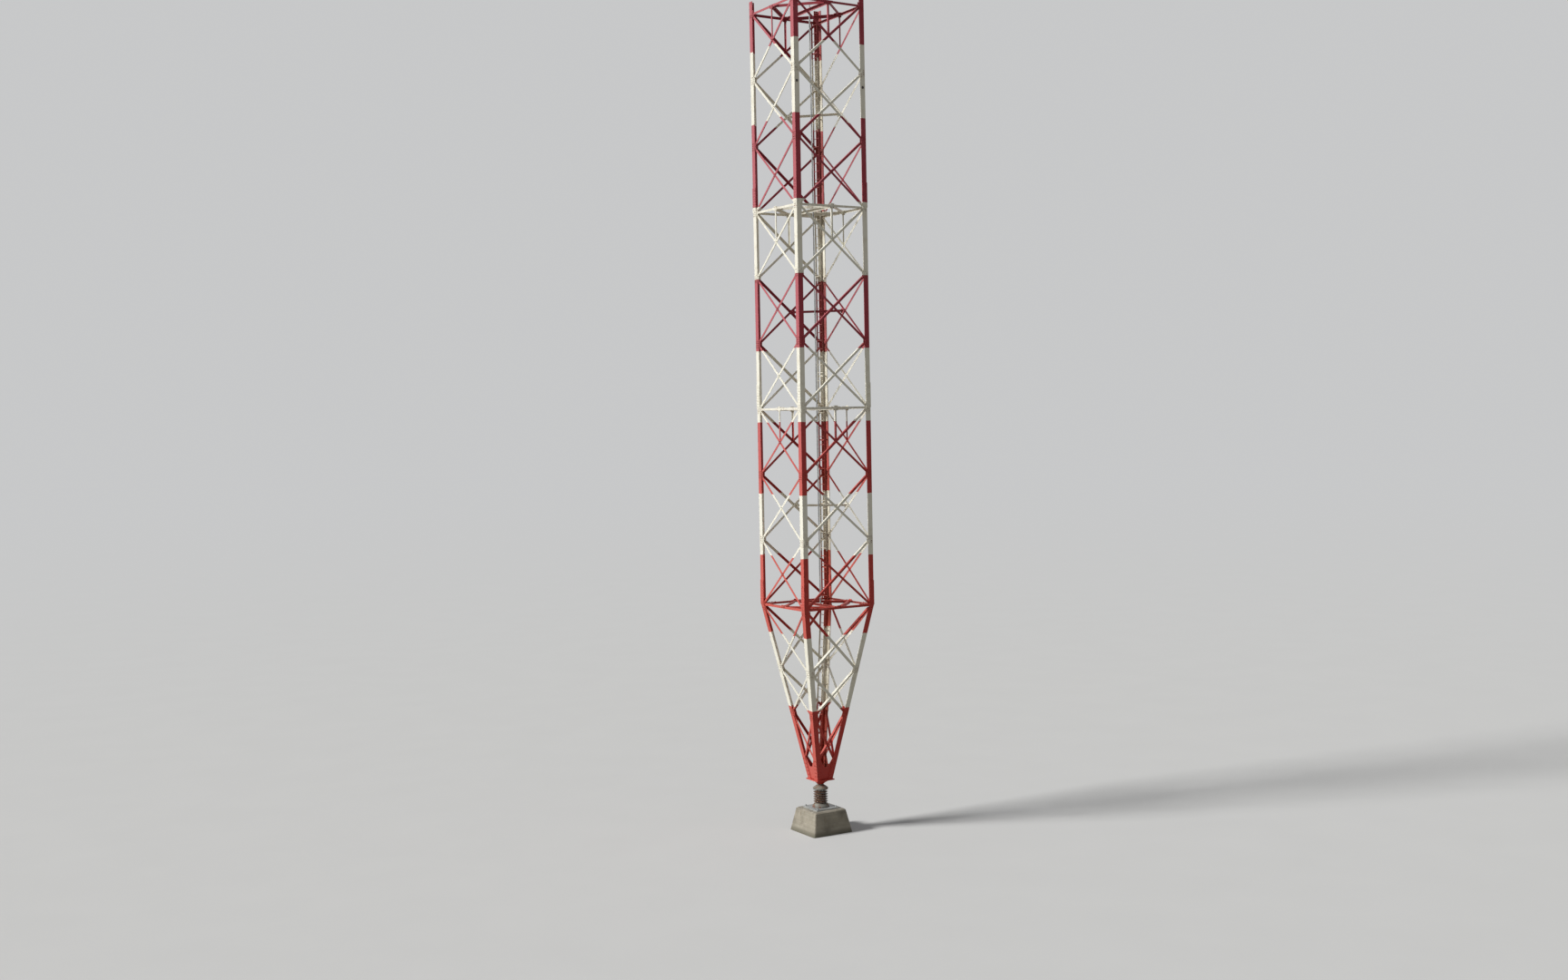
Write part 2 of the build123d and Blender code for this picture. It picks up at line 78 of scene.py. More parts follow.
# Heights at which the paint changes colour, the lowest band being red, and a height over them all
BAND_EDGES = (4.57, 7.36, 10.19, 12.48, 15.04, 17.74, 20.28, 22.90, 25.97, 28.61)
BANDS_END = 32.0

WHITE: Colour = (1.0, 1.0, 1.0, 1.0)
BLACK: Colour = (0.0, 0.0, 0.0, 1.0)
UP: Place = (0.0, 0.0, 1.0)
DOWN: Place = (0.0, 0.0, -1.0)


class Tone(Enum):
    """Colours from 0 to 255. The paint's are read off the photograph, evened out for the sun on it, except
    the reds, which carry painted light on the side facing the key lamp and painted shade elsewhere.
    """

    CREAM_LIGHT = (242, 240, 228)
    CREAM_DULL = (228, 223, 206)
    # The two plain reds are darkened as painted shade; they show on the faces turned away from the key lamp.
    RED_LOW_SHADE_SIDE = (180, 44, 34)
    RED_HIGH_SHADE_SIDE = (148, 30, 50)
    # The two light reds are partly paint fading in the sun and chalk, and partly painted light of the key
    # lamp's side.
    RED_FADED_AND_LIT = (208, 104, 94)
    RED_FADED_AND_LIT_HIGH = (192, 108, 116)
    RUST = (116, 62, 34)
    RUST_DARK = (66, 40, 28)
    STAIN = (146, 126, 90)
    DUST = (168, 156, 134)
    CONCRETE_DARK = (126, 121, 110)
    CONCRETE = (158, 152, 139)
    CONCRETE_PALE = (178, 172, 158)
    BOARD = (142, 134, 118)
    SEAM = (96, 90, 80)
    RAIN_STAIN = (104, 88, 68)
    DAMP_FOOT = (92, 90, 76)
    AIR_HOLE_SHADE = (64, 60, 54)
    ZINC_DARK = (158, 161, 162)
    ZINC_LIGHT = (178, 181, 181)
    ZINC_BLOOM = (198, 198, 193)
    IRON_DARK = (104, 105, 102)
    IRON_LIGHT = (132, 132, 126)
    GLAZE_THIN = (84, 42, 24)
    GLAZE_THICK = (58, 28, 18)
    GLAZE_SPECK = (36, 18, 12)
    GLAZE_DUST = (150, 132, 108)
    SOOT = (38, 34, 33)
    SOOT_RUSTY = (70, 52, 42)
    FLOOR_LOW = (216, 217, 218)
    FLOOR_HIGH = (220, 221, 222)
    OPEN_GROUND = (146, 142, 132)

    @property
    def colour(self) -> Colour:
        """The tone as the linear colour that a shader takes."""
        share = np.array(self.value) / 255.0
        return (*np.where(share <= 0.04045, share / 12.92, ((share + 0.055) / 1.055) ** 2.4).tolist(), 1.0)


Value = Union[float, Sequence[float], Socket, Tone]


class Graph:
    """The node tree of one material, with short calls for the nodes used here.

    Every pattern is laid out in the object's own coordinates, which are the model's own metres.
    """

    # Numbers under which a mix node has its two colours and their mixture
    colour_a, colour_b, colour_out = 6, 7, 2

    def __init__(self, name: str) -> None:
        """Start a material with its shader, its coordinates and the way its surface faces.

        Args:
            name: the material's name.
        """
        self.material = bpy.data.materials.new(name)
        self.material.use_nodes = True
        self.tree = self.material.node_tree
        self.shader = self.tree.nodes["Principled BSDF"]
        self.place = self.node("TexCoord").outputs["Object"]
        self.x, self.y, self.z = self.node("SeparateXYZ", {0: self.place}).outputs
        facing = self.node("NewGeometry").outputs["Normal"]
        self.right, self.back, self.up = self.node("SeparateXYZ", {0: facing}).outputs

    def feed(self, socket: Socket, value: Value) -> None:
        """Link a value that varies, or set one that doesn't.

        Args:
            socket: the node's input.
            value: an output to link, a number, a colour or a tone.
        """
        if isinstance(value, Socket):
            self.tree.links.new(value, socket)
        else:
            socket.default_value = value.colour if isinstance(value, Tone) else value

    def node(self, kind: str, inputs: dict[str | int, Value] | None = None,
             **settings: str) -> bpy.types.Node:
        """Add a node.

        Args:
            kind: its type, without the ShaderNode in front.
            inputs: what its inputs are fed with, by name or number.
            settings: its own settings.

        Returns:
            The node.
        """
        node = self.tree.nodes.new("ShaderNode" + kind)
        for name, value in settings.items():
            setattr(node, name, value)
        for key, value in (inputs or {}).items():
            self.feed(node.inputs[key], value)
        return node

    def stretched(self, x: float, y: float, z: float) -> Socket:
        """The coordinates multiplied by a factor along each axis."""
        return self.node("Mapping", {"Vector": self.place, "Scale": (x, y, z)}).outputs[0]

    def noise(self, scale: float, detail: float = 3.0, where: Socket | None = None) -> Socket:
        """Cloudy noise from 0 to 1, scale being blotches to a metre and detail finer layers on them."""
        inputs = {"Vector": where or self.place, "Scale": scale, "Detail": detail}
        return self.node("TexNoise", inputs).outputs[0]

    def cells(self, scale: float, output: str = "Distance") -> Socket:
        """Voronoi cells, scale being cells to a metre: the distance to their points, or their colours."""
        return self.node("TexVoronoi", {"Vector": self.place, "Scale": scale}).outputs[output]

    def calc(self, operation: str, a: Value, b: Value = 0.0, c: Value = 0.0) -> Socket:
        """The result of a math operation on up to three numbers."""
        return self.node("Math", {0: a, 1: b, 2: c}, operation=operation).outputs[0]

    def step(self, value: Value, low: float, high: float, reach: float = 1.0) -> Socket:
        """A soft step from 0 at the low value to its reach at the high one, which may be the lesser."""
        inputs = {"Value": value, "From Min": low, "From Max": high, "To Max": reach}
        return self.node("MapRange", inputs, interpolation_type="SMOOTHSTEP").outputs[0]

    def times(self, *values: Value) -> Socket:
        """The product of several numbers."""
        return reduce(lambda a, b: self.calc("MULTIPLY", a, b), values)

    def mix(self, amount: Value, a: Value, b: Value) -> Socket:
        """The first colour going over to the second as the amount goes from 0 to 1."""
        inputs = {0: amount, self.colour_a: a, self.colour_b: b}
        return self.node("Mix", inputs, data_type="RGBA").outputs[self.colour_out]

    def bump(self, height: Value, distance: float) -> None:
        """Give the surface relief, a height of 1 being the whole distance in metres."""
        node = self.node("Bump", {"Distance": distance, "Strength": 1.0, "Height": height})
        self.feed(self.shader.inputs["Normal"], node.outputs[0])

    def ramp(self, value: Value, stops: Iterable[tuple[float, Colour]], sharp: bool = False) -> Socket:
        """Colours laid along a number.

        Args:
            value: the number, between 0 and 1.
            stops: the colours, each with the number it belongs to.
            sharp: whether they change at once rather than blend.

        Returns:
            The colour.
        """
        node = self.node("ValToRGB", {"Fac": value})
        node.color_ramp.interpolation = "CONSTANT" if sharp else "LINEAR"
        marks = node.color_ramp.elements
        for i, (position, colour) in enumerate(stops):
            mark = marks[i] if i < 2 else marks.new(position)
            mark.position = position
            mark.color = colour
        return node.outputs["Color"]

    def finish(self, colour: Value, roughness: Value, **constants: float | Colour) -> Material:
        """Feed the shader and hand over the material.

        Args:
            colour: base colour, as a socket.
            roughness: roughness, as a number or a socket.
            constants: other shader inputs by name, with underscores for spaces, that don't vary.

        Returns:
            The finished material.
        """
        self.feed(self.shader.inputs["Base Color"], colour)
        self.feed(self.shader.inputs["Roughness"], roughness)
        for name, value in constants.items():
            self.shader.inputs[name.replace("_", " ")].default_value = value
        return self.material


@dataclass(frozen=True)
class BandPaint:
    """Red and cream bands up the mast, chalked by the sun, streaked and chipped by rust; the red is lighter
    on the key lamp's side, partly paint fading in the sun and partly painted light, and darkened as painted
    shade elsewhere.
    """

    name: str = "banded paint"
    slot: str = "mast_paint"
    streaks: float = 0.08
    chips: float = 0.2
    joint_rust: float = 0.2
    sun_fading_and_painted_light_share: float = 0.75
    chalk: float = 0.3
    stain_everywhere: bool = False
    stain: float = 0.5
    dust: float = 0.16
    red_turns: tuple[float, float] = (10.5, 20.0)
    edge_strays: float = 0.05
    rust_fade: tuple[float, float] = (0.26, 0.02)
    rust_margin: float = 0.3
    drip_fade: tuple[float, float] = (0.85, 0.05)
    drip_margin: float = 0.9
    corner_fade: tuple[float, float] = (-0.6, -0.3)
    relief: float = 0.0018

    def bands(self, g: Graph) -> Socket:
        """Tell the red bands from the cream ones, their edges a centimetre or two out of true.

        Args:
            g: the material's graph.

        Returns:
            1 in the red bands and 0 in the cream ones.
        """
        wander = g.calc("MULTIPLY_ADD", g.noise(5.0, 2.0), self.edge_strays, -self.edge_strays / 2)
        share = g.calc("DIVIDE", g.calc("ADD", g.z, wander), BANDS_END)
        stops = [(0.0, WHITE)]
        stops += [(edge / BANDS_END, WHITE if i % 2 else BLACK) for i, edge in enumerate(BAND_EDGES)]
        return g.ramp(share, stops, sharp=True)

    def joints(self, g: Graph) -> Socket:
        """Find the heights of the panel points, where water sits.

        Args:
            g: the material's graph.

        Returns:
            1 at those heights, fading out over a quarter of a metre.
        """
        shaft = g.step(g.calc("PINGPONG", g.calc("SUBTRACT", g.z, RING_1), PANEL / 2), *self.rust_fade)
        total = g.times(shaft, g.calc("GREATER_THAN", g.z, RING_1 - self.rust_margin))
        for mark in FOOT_MARKS[1:]:
            away = g.calc("ABSOLUTE", g.calc("SUBTRACT", g.z, mark))
            total = g.calc("MAXIMUM", total, g.step(away, *self.rust_fade))
        return total

    def below_joints(self, g: Graph) -> Socket:
        """1 right under each panel point of the shaft, fading out most of a metre further down."""
        under = g.step(g.calc("FLOORED_MODULO", g.calc("SUBTRACT", RING_1, g.z), PANEL), *self.drip_fade)
        return g.times(under, g.calc("GREATER_THAN", g.z, RING_1 - self.drip_margin))

    def ladder_corner(self, g: Graph) -> Socket:
        """Find the corner by the ladder, from how near x plus y comes to that of the leg's heel.

        Args:
            g: the material's graph.

        Returns:
            1 on the back right leg, fading out over its gussets.
        """
        narrowed = g.times(g.calc("MAXIMUM", g.calc("SUBTRACT", RING_1, g.z), 0.0), 2 * TAPER)
        near = g.calc("ADD", g.calc("ADD", g.x, g.y), g.calc("SUBTRACT", narrowed, 2 * SHAFT_HALF))
        return g.step(near, *self.corner_fade)

    def fresh(self, g: Graph, red_band: Socket, broad: Socket, middle: Socket) -> Socket:
        """The two paints, the red one duller higher up, lighter where it faces the key lamp (partly paint
        fading in the sun, partly painted light) and darkened as painted shade elsewhere.

        Args:
            g: the material's graph.
            red_band: 1 in the red bands.
            broad, middle: blotches of two sizes.

        Returns:
            The colour before anything lies on it.
        """
        cream = g.mix(g.step(middle, 0.45, 0.8), Tone.CREAM_LIGHT, Tone.CREAM_DULL)
        height = g.step(g.z, *self.red_turns)
        red = g.mix(height, Tone.RED_LOW_SHADE_SIDE, Tone.RED_HIGH_SHADE_SIDE)
        faded_and_lit = g.mix(height, Tone.RED_FADED_AND_LIT, Tone.RED_FADED_AND_LIT_HIGH)
        # Painted light: faces turned to the key lamp go over to the light red, partly as paint fading in the
        # sun; the plain red on the other faces is painted shade.
        towards_key_lamp = g.calc("MULTIPLY_ADD", g.right, -1.0, g.times(g.back, 0.3))
        sun_fading_and_painted_light = g.step(towards_key_lamp, 0.3, 0.95, self.sun_fading_and_painted_light_share)
        chalky = g.times(g.step(broad, 0.42, 0.68), g.step(middle, 0.3, 0.7), self.chalk)
        return g.mix(red_band, cream, g.mix(g.calc("MAXIMUM", sun_fading_and_painted_light, chalky), red, faded_and_lit))

    def build(self) -> Material:
        """Lay the bands, then fading, stains, streaks, chips and dust over them.

        Returns:
            The material.
        """
        g = Graph(self.name)
        broad, middle, fine = g.noise(0.55, 4.0), g.noise(4.0, 4.0), g.noise(34.0, 4.0)
        red_band = self.bands(g)
        colour = self.fresh(g, red_band, broad, middle)

        corner = 1.0 if self.stain_everywhere else self.ladder_corner(g)
        browned = g.times(corner, g.step(g.noise(1.6, 3.0), 0.25, 0.6), self.stain)
        colour = g.mix(browned, colour, g.mix(red_band, Tone.STAIN, Tone.RUST))

        run = g.noise(1.0, 5.0, g.stretched(13.0, 13.0, 0.9))
        streak = g.times(g.step(run, 0.56, 0.74), g.step(broad, 0.4, 0.62), self.streaks)
        colour = g.mix(streak, colour, Tone.RUST)
        seep = g.times(self.joints(g), g.step(g.noise(11.0, 4.0), 0.44, 0.66), self.joint_rust)
        colour = g.mix(seep, colour, Tone.RUST)
        trickle = g.noise(1.0, 3.0, g.stretched(24.0, 24.0, 1.2))
        drip = g.times(self.below_joints(g), g.step(trickle, 0.52, 0.68), self.joint_rust)
        colour = g.mix(drip, colour, Tone.RUST)
        worn = g.calc("MAXIMUM", g.step(middle, 0.58, 0.66), g.times(corner, g.step(middle, 0.5, 0.6)))
        chip = g.times(g.step(fine, 0.63, 0.67), worn, self.chips)
        colour = g.mix(chip, colour, Tone.RUST_DARK)
        dusty = g.times(g.step(g.up, 0.6, 0.95), g.step(middle, 0.3, 0.7), self.dust)
        colour = g.mix(dusty, colour, Tone.DUST)

        rough = g.calc("MULTIPLY_ADD", g.calc("MAXIMUM", seep, chip), 0.35, g.step(broad, 0.3, 0.7, 0.16))
        grain = g.calc("ADD", g.times(fine, 0.5), g.times(middle, 0.5))
        g.bump(g.calc("MULTIPLY_ADD", chip, -0.8, grain), self.relief)
        return g.finish(colour, g.calc("ADD", rough, 0.44), Specular_IOR_Level=0.42)


@dataclass(frozen=True)
class CastConcrete:
    """Concrete cast in board forms, with air holes, rain stains and a darker foot."""

    name: str = "cast concrete"
    slot: str = "concrete"
    board: float = 0.142
    relief: float = 0.004

    def build(self) -> Material:
        """Mottled grey with board marks, stains, and air holes coloured dark as painted shade.

        Returns:
            The material.
        """
        g = Graph(self.name)
        cloud = g.noise(2.2, 5.0)
        grain = g.noise(60.0, 4.0)
        colour = g.ramp(cloud, [(0.3, Tone.CONCRETE_DARK.colour), (0.5, Tone.CONCRETE.colour),
                                (0.72, Tone.CONCRETE_PALE.colour)])
        tint = g.noise(1.0, 0.0, g.stretched(0.0, 0.0, 1.0 / self.board))
        colour = g.mix(g.step(tint, 0.35, 0.65, 0.22), colour, Tone.BOARD)
        seam = g.step(g.calc("PINGPONG", g.calc("DIVIDE", g.z, self.board), 0.5), 0.045, 0.0)
        side = g.step(g.up, 0.5, 0.2)
        colour = g.mix(g.times(seam, side, 0.4), colour, Tone.SEAM)
        run = g.noise(1.0, 5.0, g.stretched(11.0, 11.0, 0.8))
        stain = g.times(g.step(run, 0.52, 0.72), g.step(g.z, 0.25, 0.85), side, 0.6)
        colour = g.mix(stain, colour, Tone.RAIN_STAIN)
        foot = g.times(g.step(g.calc("MULTIPLY_ADD", cloud, -0.16, g.z), 0.16, -0.06), 0.75)
        colour = g.mix(foot, colour, Tone.DAMP_FOOT)
        # Air holes: dents in the relief, coloured dark as painted shade inside them.
        hole = g.times(g.step(g.cells(26.0), 0.17, 0.09), g.step(g.noise(3.0, 2.0), 0.5, 0.56))
        colour = g.mix(g.times(hole, 0.8), colour, Tone.AIR_HOLE_SHADE)
        relief = g.calc("MULTIPLY_ADD", grain, 0.3, g.times(cloud, 0.6))
        relief = g.calc("MULTIPLY_ADD", hole, -1.0, relief)
        relief = g.calc("MULTIPLY_ADD", g.times(seam, side), 0.5, relief)
        g.bump(relief, self.relief)
        return g.finish(colour, g.step(grain, 0.2, 0.8, 0.95), Specular_IOR_Level=0.25)


@dataclass(frozen=True)
class DullZinc:
    """Hot-dipped zinc gone dull, with its spangle and a little rust."""

    name: str = "dull zinc"
    slot: str = "galvanised_steel"
    rust: float = 0.5
    relief: float = 0.0008

    def build(self) -> Material:
        """Grey crystals of zinc with white bloom and rust freckles.

        Returns:
            The material.
        """
        g = Graph(self.name)
        spangle = g.step(g.cells(70.0, "Color"), 0.1, 0.9)
        cloud = g.noise(5.0, 4.0)
        colour = g.mix(spangle, Tone.ZINC_DARK, Tone.ZINC_LIGHT)
        colour = g.mix(g.step(cloud, 0.5, 0.7, 0.5), colour, Tone.ZINC_BLOOM)
        rusty = g.times(g.step(g.noise(16.0, 5.0), 0.56, 0.68), g.step(cloud, 0.42, 0.6), self.rust)
        colour = g.mix(rusty, colour, Tone.RUST)
        g.bump(g.calc("MULTIPLY_ADD", rusty, 1.0, g.times(spangle, 0.2)), self.relief)
        return g.finish(colour, g.calc("MULTIPLY_ADD", rusty, 0.4, 0.46), Metallic=0.35)


@dataclass(frozen=True)
class GreyIron:
    """Sand-cast iron under thin grey paint, rusting through in patches."""

    name: str = "grey cast iron"
    slot: str = "grey_iron"
    relief: float = 0.0015

    def build(self) -> Material:
        """Grey paint over cast skin, with rust patches and dust on what faces up.

        Returns:
            The material.
        """
        g = Graph(self.name)
        cloud = g.noise(6.0, 5.0)
        skin = g.noise(150.0, 3.0)
        colour = g.mix(g.step(cloud, 0.3, 0.7), Tone.IRON_DARK, Tone.IRON_LIGHT)
        patch = g.times(g.step(g.noise(9.0, 6.0), 0.52, 0.62), 0.8)
        colour = g.mix(patch, colour, Tone.RUST)
        colour = g.mix(g.step(g.noise(30.0, 4.0), 0.62, 0.7, 0.8), colour, Tone.RUST_DARK)
        colour = g.mix(g.step(g.up, 0.5, 0.95, 0.35), colour, Tone.DUST)
        g.bump(g.calc("MULTIPLY_ADD", skin, 0.5, g.times(patch, 0.6)), self.relief)
        return g.finish(colour, g.calc("MULTIPLY_ADD", patch, 0.3, 0.5), Specular_IOR_Level=0.4)


@dataclass(frozen=True)
class BrownGlaze:
    """Brown glazed porcelain, unevenly thick and dusty on top of its sheds."""

    name: str = "brown glaze"
    slot: str = "brown_porcelain"
    relief: float = 0.0012

    def build(self) -> Material:
        """Glossy brown with darker pools and specks and a film of dust.

        Returns:
            The material.
        """
        g = Graph(self.name)
        cloud = g.noise(7.0, 3.0)
        colour = g.mix(g.step(cloud, 0.3, 0.7), Tone.GLAZE_THIN, Tone.GLAZE_THICK)
        colour = g.mix(g.times(g.step(g.noise(90.0, 2.0), 0.6, 0.72), 0.5), colour, Tone.GLAZE_SPECK)
        dust = g.times(g.step(g.up, 0.15, 0.85), g.step(g.noise(14.0, 5.0), 0.25, 0.7), 0.42)
        colour = g.mix(dust, colour, Tone.GLAZE_DUST)
        g.bump(cloud, self.relief)
        rough = g.calc("MULTIPLY_ADD", dust, 0.9, 0.13)
        return g.finish(colour, rough, Coat_Weight=0.6, Coat_Roughness=0.08)


@dataclass(frozen=True)
class DarkFitting:
    """Nearly black weathered fittings on the legs."""

    name: str = "dark fitting"
    slot: str = "galvanised_steel"
    relief: float = 0.001

    def build(self) -> Material:
        """Soot-dark metal with a rusty bloom.

        Returns:
            The material.
        """
        g = Graph(self.name)
        cloud = g.noise(28.0, 4.0)
        colour = g.mix(g.step(cloud, 0.4, 0.7), Tone.SOOT, Tone.SOOT_RUSTY)
        g.bump(cloud, self.relief)
        return g.finish(colour, g.step(cloud, 0.2, 0.8, 0.8))


def seen_rays(tree: bpy.types.NodeTree) -> Socket:
    """Tell what the camera sees, straight, by reflection or through glass, from light on the mast.

    Args:
        tree: the node tree of a material or a world.

    Returns:
        1 for what the camera sees and 0 for the light that reaches the mast.
    """
    rays = tree.nodes.new("ShaderNodeLightPath")
    total = rays.outputs["Is Camera Ray"]
    for name in ("Is Glossy Ray", "Is Transmission Ray"):
        either = tree.nodes.new("ShaderNodeMath")
        either.operation = "MAXIMUM"
        tree.links.new(total, either.inputs[0])
        tree.links.new(rays.outputs[name], either.inputs[1])
        total = either.outputs[0]
    return total


@dataclass(frozen=True)
class PaleFloor:
    """Plain pale studio floor that goes over into the backdrop far away, without a line between them.

    It is pale to the eye only: the light that it throws back on the mast is that of open ground.
    """

    name: str = "pale floor"
    fade_from: float = 25.0
    fade_to: float = 420.0

    def build(self, backdrop: Colour) -> Material:
        """Matt off-white with the faintest mottling, glowing like the backdrop where it is far away.

        Args:
            backdrop: the backdrop's colour.

        Returns:
            The material.
        """
        g = Graph(self.name)
        squares = g.calc("ADD", g.calc("MULTIPLY", g.x, g.x), g.calc("MULTIPLY", g.y, g.y))
        far = g.calc("LOGARITHM", g.calc("SQRT", squares), 10.0)
        fade = g.step(far, np.log10(self.fade_from), np.log10(self.fade_to))
        pale = g.mix(g.noise(0.35, 3.0), Tone.FLOOR_LOW, Tone.FLOOR_HIGH)
        seen = seen_rays(g.tree)
        colour = g.mix(seen, Tone.OPEN_GROUND, g.mix(fade, pale, BLACK))
        g.feed(g.shader.inputs["Emission Strength"], g.times(fade, seen))
        return g.finish(colour, 0.9, Specular_IOR_Level=0.0, Emission_Color=backdrop)


Finish = Union[BandPaint, CastConcrete, DullZinc, GreyIron, BrownGlaze, DarkFitting]


# The finish of every slot of the CAD model, and that of the bolts at the joints
SLOT_FINISHES: dict[str, Finish] = {finish.slot: finish for finish in (
    BandPaint(), CastConcrete(), DullZinc(), GreyIron(), BrownGlaze(),
    BandPaint(name="stained ladder paint", slot="ladder_paint", stain_everywhere=True, chips=0.5),
    BandPaint(name="paint on castings", slot="red_paint", streaks=0.5, joint_rust=0.6))}
BOLT_PAINT = BandPaint(name="paint on bolts", streaks=0.4, chips=1.0, joint_rust=0.75)


@cache
def material_of(finish: Finish) -> Material:
    """The material of a finish, built on its first use."""
    return finish.build()


def dress_nodes() -> int:
    """Give every CAD node the finish of its slot.

    Returns:
        How many nodes there are.
    """
    slots = {part["node"]: part["material_slot"] for part in frame["record"]["subparts"]}
    for name, node in frame["nodes"].items():
        material = material_of(SLOT_FINISHES[slots[name]])
        if not node.material_slots:
            node.data.materials.append(material)
        for place in node.material_slots:
            place.material = material
    return len(slots)


def hang(name: str, data: bpy.types.ID) -> bpy.types.Object:
    """Put a mesh, a lamp or a camera into the scene.

    Args:
        name: the object's name.
        data: what the object holds.

    Returns:
        The new object.
    """
    thing = bpy.data.objects.new(name, data)
    bpy.context.scene.collection.objects.link(thing)
    return thing


def add_piece(name: str, points: Array, faces: Sequence[Sequence[int]], finish: Finish,
              smooth: bool = False) -> bpy.types.Object:
    """Make a mesh object that rides on the mast.

    Args:
        name: the piece's name.
        points: its corner points, in an array of any shape.
        faces: corner numbers of each face.
        finish: what it is painted with.
        smooth: whether its shading is smooth.

    Returns:
        The new object.
    """
    mesh = bpy.data.meshes.new(name)
    mesh.from_pydata(points.reshape(-1, 3).tolist(), [], faces)
    mesh.polygons.foreach_set("use_smooth", np.full(len(mesh.polygons), smooth))
    mesh.materials.append(material_of(finish))
    mesh.update()
    piece = hang(name, mesh)
    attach(piece, "root")
    return piece


def skin(rows: int, columns: int, copies: int = 1, ends: bool = False) -> list[list[int]]:
    """Faces between neighbours of a grid of points, whose last column is joined to its first.

    Args:
        rows, columns: the size of the grid.
        copies: how many such grids follow one another.
        ends: whether the first and last rows are closed by a face each.

    Returns:
        The corner numbers of each face.
    """
    row, column = np.meshgrid(np.arange(rows - 1), np.arange(columns), indexing="ij")
    after = (column + 1) % columns
    quads = np.stack((row * columns + column, row * columns + after, (row + 1) * columns + after,
                      (row + 1) * columns + column), axis=-1).reshape(-1, 4)
    offset = np.arange(copies)[:, None, None] * rows * columns
    faces = (quads + offset).reshape(-1, 4).tolist()
    if ends:
        first = np.arange(columns)
        lids = np.stack((first[::-1], (rows - 1) * columns + first))
        faces += (lids + offset).reshape(-1, columns).tolist()
    return faces


def round_angles(count: int) -> Array:
    """Angles spaced evenly once round."""
    return np.linspace(0.0, 2 * np.pi, count, endpoint=False)


def turned_about(profile: Array, columns: int, start: float = 0.0) -> Array:
    """Carry a profile round the mast's axis: x and y are the radius times an angle's cosine and sine.

    Args:
        profile: radius and height, one pair to a row.
        columns: how many places there are round the axis.
        start: the angle of the first of them.

    Returns:
        A grid of points.
    """
    angle = round_angles(columns) + start
    radius, height = profile[:, :1], profile[:, 1:]
    height = np.broadcast_to(height, (len(profile), columns))
    return np.stack((radius * np.cos(angle), radius * np.sin(angle), height), axis=-1)


def quarter_turns(points: Array) -> Array:
    """The same points on all four sides, stacked: x and y swap, one changing its sign, at each turn."""
    x, y, z = np.moveaxis(points, -1, 0)
    return np.stack([np.stack(pair + (z,), axis=-1) for pair in ((x, y), (-y, x), (-x, -y), (y, -x))])


@dataclass
class Side:
    """Points on the front side of the mast, upright above the lowest ring and leaning below it."""

    leaning: bool = False

    @property
    def inward(self) -> Array:
        """Direction into the mast, square to the side."""
        lean = np.array((0.0, 1.0, TAPER if self.leaning else 0.0))
        return lean / np.linalg.norm(lean)

    @property
    def flange_depth(self) -> float:
        """Depth of the leg flange's inner face."""
        return LEG_WALL / np.hypot(1.0, TAPER) if self.leaning else LEG_WALL

    @staticmethod
    def half(height: Array | float) -> Array:
        """Half the width over the legs at a height."""
        return SHAFT_HALF - TAPER * np.maximum(0.0, RING_1 - np.asarray(height, float))

    def points(self, across: Array | float, height: Array | float, depth: float = 0.0) -> Array:
        """Points so far to the right of the side's middle, so high, and so deep inwards, square to it."""
        across, height = np.broadcast_arrays(np.asarray(across, float), np.asarray(height, float))
        return np.stack((across, -self.half(height), height), axis=-1) + self.inward * depth


@dataclass
class BoltWork:
    """Hexagon bolts, gathered from all over the mast and made as one mesh of low-faced copies.

    A bolt is six columns of points carried up a profile of radius and height, in shares of its width
    over the flats and its height: a washer, a hexagon head and a bevelled crown. All copies are
    placed at once by one product of arrays.
    """

    name: str
    finish: Finish
    across: float
    tall: float
    washer: bool = True
    sides: int = 6
    upright: float = 0.9
    head: tuple[tuple[float, float], ...] = ((0.577, 0.0), (0.577, 0.82), (0.46, 1.0))
    washered_head: tuple[tuple[float, float], ...] = (
        (0.72, 0.0), (0.72, 0.16), (0.577, 0.16), (0.577, 0.86), (0.46, 1.0))
    bolts: list[Array] = field(default_factory=list)

    def add(self, places: Array, outward: Array | Place, shares: tuple[float, float] = (1.0, 1.0),
            all_sides: bool = True) -> None:
        """Gather bolts.

        Args:
            places: where the heads sit, any shape of rows of three.
            outward: direction the heads point, one or one for each place.
            shares: how much of the width and of the height they have.
            all_sides: whether the same bolts stand on all four sides of the mast.
        """
        places = np.asarray(places, float).reshape(-1, 3)
        outward = np.broadcast_to(np.asarray(outward, float), places.shape)
        if all_sides:
            places, outward = quarter_turns(places).reshape(-1, 3), quarter_turns(outward).reshape(-1, 3)
        size = np.tile((self.across * shares[0], self.tall * shares[1]), (len(places), 1))
        self.bolts.append(np.concatenate((places, outward, size), axis=1))

    def build(self) -> Pieces:
        """Join every gathered bolt into one mesh.

        Returns:
            The piece, in a list.
        """
        profile = np.array(self.washered_head if self.washer else self.head)
        angle = round_angles(self.sides)
        places, outward, sizes = np.split(np.concatenate(self.bolts), (3, 6), axis=1)
        outward = outward / np.linalg.norm(outward, axis=1, keepdims=True)
        other = np.where(np.abs(outward[:, 2:]) > self.upright, (1.0, 0.0, 0.0), UP)
        first = np.cross(outward, other)
        first /= np.linalg.norm(first, axis=1, keepdims=True)
        second = np.cross(outward, first)
        flat = np.cos(angle)[None, :, None] * first[:, None] + np.sin(angle)[None, :, None] * second[:, None]
        wide = profile[None, :, 0, None, None] * sizes[:, None, None, :1] * flat[:, None]
        high = profile[None, :, 1, None, None] * sizes[:, None, None, 1:] * outward[:, None, None]
        points = places[:, None, None] + wide + high
        faces = skin(len(profile), self.sides, len(places), ends=True)
        return [add_piece(self.name, points, faces, self.finish)]


